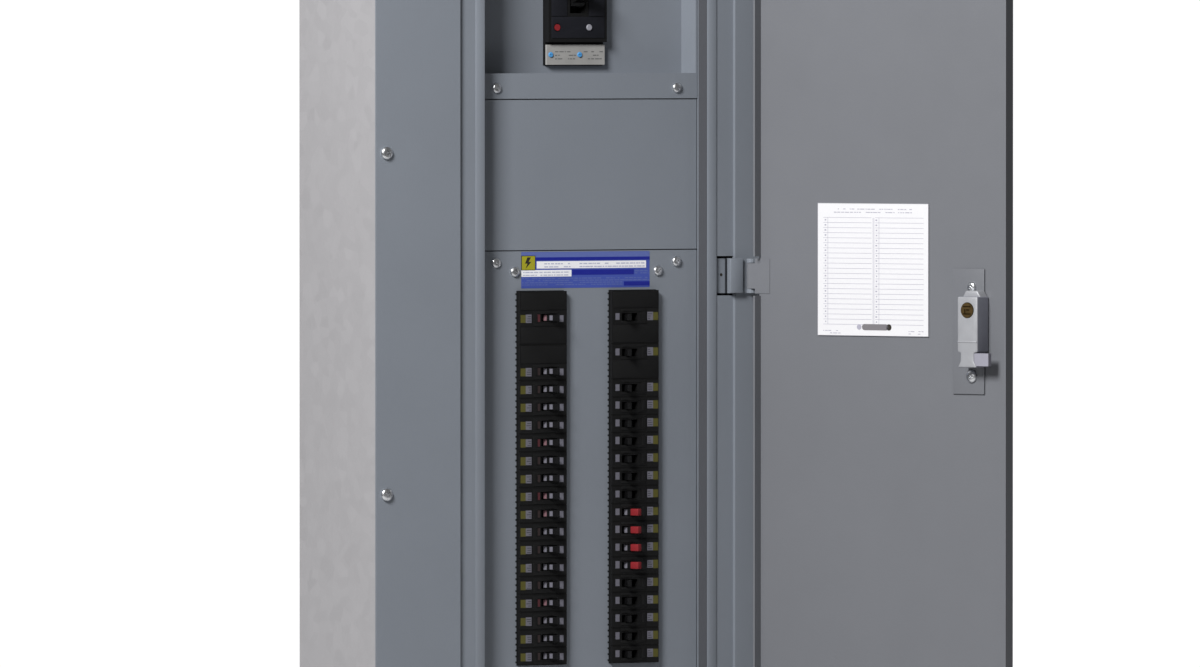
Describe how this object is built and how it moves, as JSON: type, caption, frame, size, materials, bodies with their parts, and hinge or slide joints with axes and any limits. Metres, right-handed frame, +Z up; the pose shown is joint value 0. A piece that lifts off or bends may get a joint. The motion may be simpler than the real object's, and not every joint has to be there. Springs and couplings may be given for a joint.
{
  "type": "lighting panelboard load center",
  "caption": "Wall-mounted electrical distribution panel with a main breaker, two columns of branch breakers behind deadfront plates, and a hinged lockable door.",
  "frame": {"origin": "centre of the back face of the box, which lies on the wall", "axes": "+Z up, +Y into the wall, +X to the right of a person who faces the panel"},
  "size_m": [0.538, 0.4634, 1.118],
  "materials": {
    "grey_paint": "blue-grey powder coat",
    "galvanized": "galvanized sheet",
    "bus_aluminium": "tin-plated bar",
    "black_moulding": "moulded thermoset",
    "grey_moulding": "moulded thermoset",
    "red_plastic": "moulded button",
    "cast_metal": "die-cast, painted",
    "lock_brass": "turned",
    "card": "printed card in a clear sleeve"
  },
  "bodies": {
    "panel": {"enclosure_box": "galvanized", "trim_front": "grey_paint", "main_deadfront": "grey_paint", "blank_plate": "grey_paint", "branch_deadfront": "grey_paint", "interior_pan": "galvanized", "phase_bus_a": "bus_aluminium", "phase_bus_b": "bus_aluminium", "phase_bus_c": "bus_aluminium", "neutral_bar": "bus_aluminium", "main_breaker_case": "black_moulding", "main_trip_unit": "grey_moulding", "left_breaker_bank": "black_moulding", "right_breaker_bank": "black_moulding", "hinge_top": "grey_paint", "hinge_middle": "grey_paint", "hinge_bottom": "grey_paint"},
    "door": {"door": "grey_paint", "directory_card": "card", "latch_case": "cast_metal"},
    "lock_cylinder": {"lock_cylinder": "lock_brass"},
    "latch_bolt": {"latch_bolt": "cast_metal"},
    "main_toggle": {"main_toggle": "black_moulding"},
    "push_to_trip_button": {"push_to_trip_button": "red_plastic"},
    "left_toggle_01": {"left_toggle_01": "black_moulding"},
    "left_toggle_02": {"left_toggle_02": "black_moulding"},
    "left_toggle_03": {"left_toggle_03": "black_moulding"},
    "left_toggle_04": {"left_toggle_04": "black_moulding"},
    "left_toggle_05": {"left_toggle_05": "black_moulding"},
    "left_toggle_06": {"left_toggle_06": "black_moulding"},
    "left_toggle_07": {"left_toggle_07": "black_moulding"},
    "left_toggle_08": {"left_toggle_08": "black_moulding"},
    "left_toggle_09": {"left_toggle_09": "black_moulding"},
    "left_toggle_10": {"left_toggle_10": "black_moulding"},
    "left_toggle_11": {"left_toggle_11": "black_moulding"},
    "left_toggle_12": {"left_toggle_12": "black_moulding"},
    "left_toggle_13": {"left_toggle_13": "black_moulding"},
    "left_toggle_14": {"left_toggle_14": "black_moulding"},
    "left_toggle_15": {"left_toggle_15": "black_moulding"},
    "left_toggle_16": {"left_toggle_16": "black_moulding"},
    "left_toggle_17": {"left_toggle_17": "black_moulding"},
    "left_toggle_18": {"left_toggle_18": "black_moulding"},
    "right_toggle_01": {"right_toggle_01": "black_moulding"},
    "right_toggle_02": {"right_toggle_02": "black_moulding"},
    "right_toggle_03": {"right_toggle_03": "black_moulding"},
    "right_toggle_04": {"right_toggle_04": "black_moulding"},
    "right_toggle_05": {"right_toggle_05": "black_moulding"},
    "right_toggle_06": {"right_toggle_06": "black_moulding"},
    "right_toggle_07": {"right_toggle_07": "black_moulding"},
    "right_toggle_08": {"right_toggle_08": "black_moulding"},
    "right_toggle_09": {"right_toggle_09": "black_moulding"},
    "right_toggle_10": {"right_toggle_10": "black_moulding"},
    "right_toggle_11": {"right_toggle_11": "black_moulding"},
    "right_toggle_12": {"right_toggle_12": "black_moulding"},
    "right_toggle_13": {"right_toggle_13": "black_moulding"},
    "right_toggle_14": {"right_toggle_14": "black_moulding"},
    "right_toggle_15": {"right_toggle_15": "black_moulding"},
    "right_toggle_16": {"right_toggle_16": "black_moulding"},
    "right_toggle_17": {"right_toggle_17": "black_moulding"},
    "right_toggle_18": {"right_toggle_18": "black_moulding"}
  },
  "joints": [
    {"name": "door_hinge", "type": "hinge", "parent": "panel", "child": "door", "pos_m": [0.17, -0.16, 0], "axis": [0, 0, 1], "range_deg": [-111.5, 20]},
    {"name": "lock_turn", "type": "hinge", "parent": "door", "child": "lock_cylinder", "pos_m": [0.26955, -0.42227, 0.013], "axis": [-0.9304, -0.3665, 0], "range_deg": [0, 90]},
    {"name": "bolt_slide", "type": "slide", "parent": "door", "child": "latch_bolt", "axis": [-0.3665, 0.9304, 0], "range_m": [0, 0.008]},
    {"name": "main_switch", "type": "hinge", "parent": "panel", "child": "main_toggle", "pos_m": [0, -0.103, 0.316], "axis": [1, 0, 0], "range_deg": [0, 28]},
    {"name": "trip_push", "type": "slide", "parent": "panel", "child": "push_to_trip_button", "axis": [0, 1, 0], "range_m": [0, 0.002], "stiffness_N_per_m": 800},
    {"name": "left_toggle_01_switch", "type": "hinge", "parent": "panel", "child": "left_toggle_01", "pos_m": [-0.0465, -0.125, 0.00375], "axis": [0, 0, 1], "range_deg": [-40, 0]},
    {"name": "left_toggle_02_switch", "type": "hinge", "parent": "panel", "child": "left_toggle_02", "pos_m": [-0.0465, -0.125, -0.04875], "axis": [0, 0, 1], "range_deg": [-40, 0]},
    {"name": "left_toggle_03_switch", "type": "hinge", "parent": "panel", "child": "left_toggle_03", "pos_m": [-0.0465, -0.125, -0.06625], "axis": [0, 0, 1], "range_deg": [-40, 0]},
    {"name": "left_toggle_04_switch", "type": "hinge", "parent": "panel", "child": "left_toggle_04", "pos_m": [-0.0465, -0.125, -0.08375], "axis": [0, 0, 1], "range_deg": [-40, 0]},
    {"name": "left_toggle_05_switch", "type": "hinge", "parent": "panel", "child": "left_toggle_05", "pos_m": [-0.0465, -0.125, -0.10125], "axis": [0, 0, 1], "range_deg": [-40, 0]},
    {"name": "left_toggle_06_switch", "type": "hinge", "parent": "panel", "child": "left_toggle_06", "pos_m": [-0.0465, -0.125, -0.11875], "axis": [0, 0, 1], "range_deg": [-40, 0]},
    {"name": "left_toggle_07_switch", "type": "hinge", "parent": "panel", "child": "left_toggle_07", "pos_m": [-0.0465, -0.125, -0.13625], "axis": [0, 0, 1], "range_deg": [-40, 0]},
    {"name": "left_toggle_08_switch", "type": "hinge", "parent": "panel", "child": "left_toggle_08", "pos_m": [-0.0465, -0.125, -0.15375], "axis": [0, 0, 1], "range_deg": [-40, 0]},
    {"name": "left_toggle_09_switch", "type": "hinge", "parent": "panel", "child": "left_toggle_09", "pos_m": [-0.0465, -0.125, -0.17125], "axis": [0, 0, 1], "range_deg": [-40, 0]},
    {"name": "left_toggle_10_switch", "type": "hinge", "parent": "panel", "child": "left_toggle_10", "pos_m": [-0.0465, -0.125, -0.18875], "axis": [0, 0, 1], "range_deg": [-40, 0]},
    {"name": "left_toggle_11_switch", "type": "hinge", "parent": "panel", "child": "left_toggle_11", "pos_m": [-0.0465, -0.125, -0.20625], "axis": [0, 0, 1], "range_deg": [-40, 0]},
    {"name": "left_toggle_12_switch", "type": "hinge", "parent": "panel", "child": "left_toggle_12", "pos_m": [-0.0465, -0.125, -0.22375], "axis": [0, 0, 1], "range_deg": [-40, 0]},
    {"name": "left_toggle_13_switch", "type": "hinge", "parent": "panel", "child": "left_toggle_13", "pos_m": [-0.0465, -0.125, -0.24125], "axis": [0, 0, 1], "range_deg": [-40, 0]},
    {"name": "left_toggle_14_switch", "type": "hinge", "parent": "panel", "child": "left_toggle_14", "pos_m": [-0.0465, -0.125, -0.25875], "axis": [0, 0, 1], "range_deg": [-40, 0]},
    {"name": "left_toggle_15_switch", "type": "hinge", "parent": "panel", "child": "left_toggle_15", "pos_m": [-0.0465, -0.125, -0.27625], "axis": [0, 0, 1], "range_deg": [-40, 0]},
    {"name": "left_toggle_16_switch", "type": "hinge", "parent": "panel", "child": "left_toggle_16", "pos_m": [-0.0465, -0.125, -0.29375], "axis": [0, 0, 1], "range_deg": [-40, 0]},
    {"name": "left_toggle_17_switch", "type": "hinge", "parent": "panel", "child": "left_toggle_17", "pos_m": [-0.0465, -0.125, -0.31125], "axis": [0, 0, 1], "range_deg": [-40, 0]},
    {"name": "left_toggle_18_switch", "type": "hinge", "parent": "panel", "child": "left_toggle_18", "pos_m": [-0.0465, -0.125, -0.32875], "axis": [0, 0, 1], "range_deg": [-40, 0]},
    {"name": "right_toggle_01_switch", "type": "hinge", "parent": "panel", "child": "right_toggle_01", "pos_m": [0.0465, -0.125, 0.00375], "axis": [0, 0, 1], "range_deg": [0, 40]},
    {"name": "right_toggle_02_switch", "type": "hinge", "parent": "panel", "child": "right_toggle_02", "pos_m": [0.0465, -0.125, -0.03125], "axis": [0, 0, 1], "range_deg": [0, 40]},
    {"name": "right_toggle_03_switch", "type": "hinge", "parent": "panel", "child": "right_toggle_03", "pos_m": [0.0465, -0.125, -0.06625], "axis": [0, 0, 1], "range_deg": [0, 40]},
    {"name": "right_toggle_04_switch", "type": "hinge", "parent": "panel", "child": "right_toggle_04", "pos_m": [0.0465, -0.125, -0.08375], "axis": [0, 0, 1], "range_deg": [0, 40]},
    {"name": "right_toggle_05_switch", "type": "hinge", "parent": "panel", "child": "right_toggle_05", "pos_m": [0.0465, -0.125, -0.10125], "axis": [0, 0, 1], "range_deg": [0, 40]},
    {"name": "right_toggle_06_switch", "type": "hinge", "parent": "panel", "child": "right_toggle_06", "pos_m": [0.0465, -0.125, -0.11875], "axis": [0, 0, 1], "range_deg": [0, 40]},
    {"name": "right_toggle_07_switch", "type": "hinge", "parent": "panel", "child": "right_toggle_07", "pos_m": [0.0465, -0.125, -0.13625], "axis": [0, 0, 1], "range_deg": [0, 40]},
    {"name": "right_toggle_08_switch", "type": "hinge", "parent": "panel", "child": "right_toggle_08", "pos_m": [0.0465, -0.125, -0.15375], "axis": [0, 0, 1], "range_deg": [0, 40]},
    {"name": "right_toggle_09_switch", "type": "hinge", "parent": "panel", "child": "right_toggle_09", "pos_m": [0.0465, -0.125, -0.17125], "axis": [0, 0, 1], "range_deg": [0, 40]},
    {"name": "right_toggle_10_switch", "type": "hinge", "parent": "panel", "child": "right_toggle_10", "pos_m": [0.0465, -0.125, -0.18875], "axis": [0, 0, 1], "range_deg": [-40, 0]},
    {"name": "right_toggle_11_switch", "type": "hinge", "parent": "panel", "child": "right_toggle_11", "pos_m": [0.0465, -0.125, -0.20625], "axis": [0, 0, 1], "range_deg": [-40, 0]},
    {"name": "right_toggle_12_switch", "type": "hinge", "parent": "panel", "child": "right_toggle_12", "pos_m": [0.0465, -0.125, -0.22375], "axis": [0, 0, 1], "range_deg": [-40, 0]},
    {"name": "right_toggle_13_switch", "type": "hinge", "parent": "panel", "child": "right_toggle_13", "pos_m": [0.0465, -0.125, -0.24125], "axis": [0, 0, 1], "range_deg": [-40, 0]},
    {"name": "right_toggle_14_switch", "type": "hinge", "parent": "panel", "child": "right_toggle_14", "pos_m": [0.0465, -0.125, -0.25875], "axis": [0, 0, 1], "range_deg": [0, 40]},
    {"name": "right_toggle_15_switch", "type": "hinge", "parent": "panel", "child": "right_toggle_15", "pos_m": [0.0465, -0.125, -0.27625], "axis": [0, 0, 1], "range_deg": [0, 40]},
    {"name": "right_toggle_16_switch", "type": "hinge", "parent": "panel", "child": "right_toggle_16", "pos_m": [0.0465, -0.125, -0.29375], "axis": [0, 0, 1], "range_deg": [0, 40]},
    {"name": "right_toggle_17_switch", "type": "hinge", "parent": "panel", "child": "right_toggle_17", "pos_m": [0.0465, -0.125, -0.31125], "axis": [0, 0, 1], "range_deg": [0, 40]},
    {"name": "right_toggle_18_switch", "type": "hinge", "parent": "panel", "child": "right_toggle_18", "pos_m": [0.0465, -0.125, -0.32875], "axis": [0, 0, 1], "range_deg": [0, 40]}
  ],
  "couplings": [
    {"joint": "bolt_slide", "follows": "lock_turn", "m_per_rad": 0.005093}
  ]
}
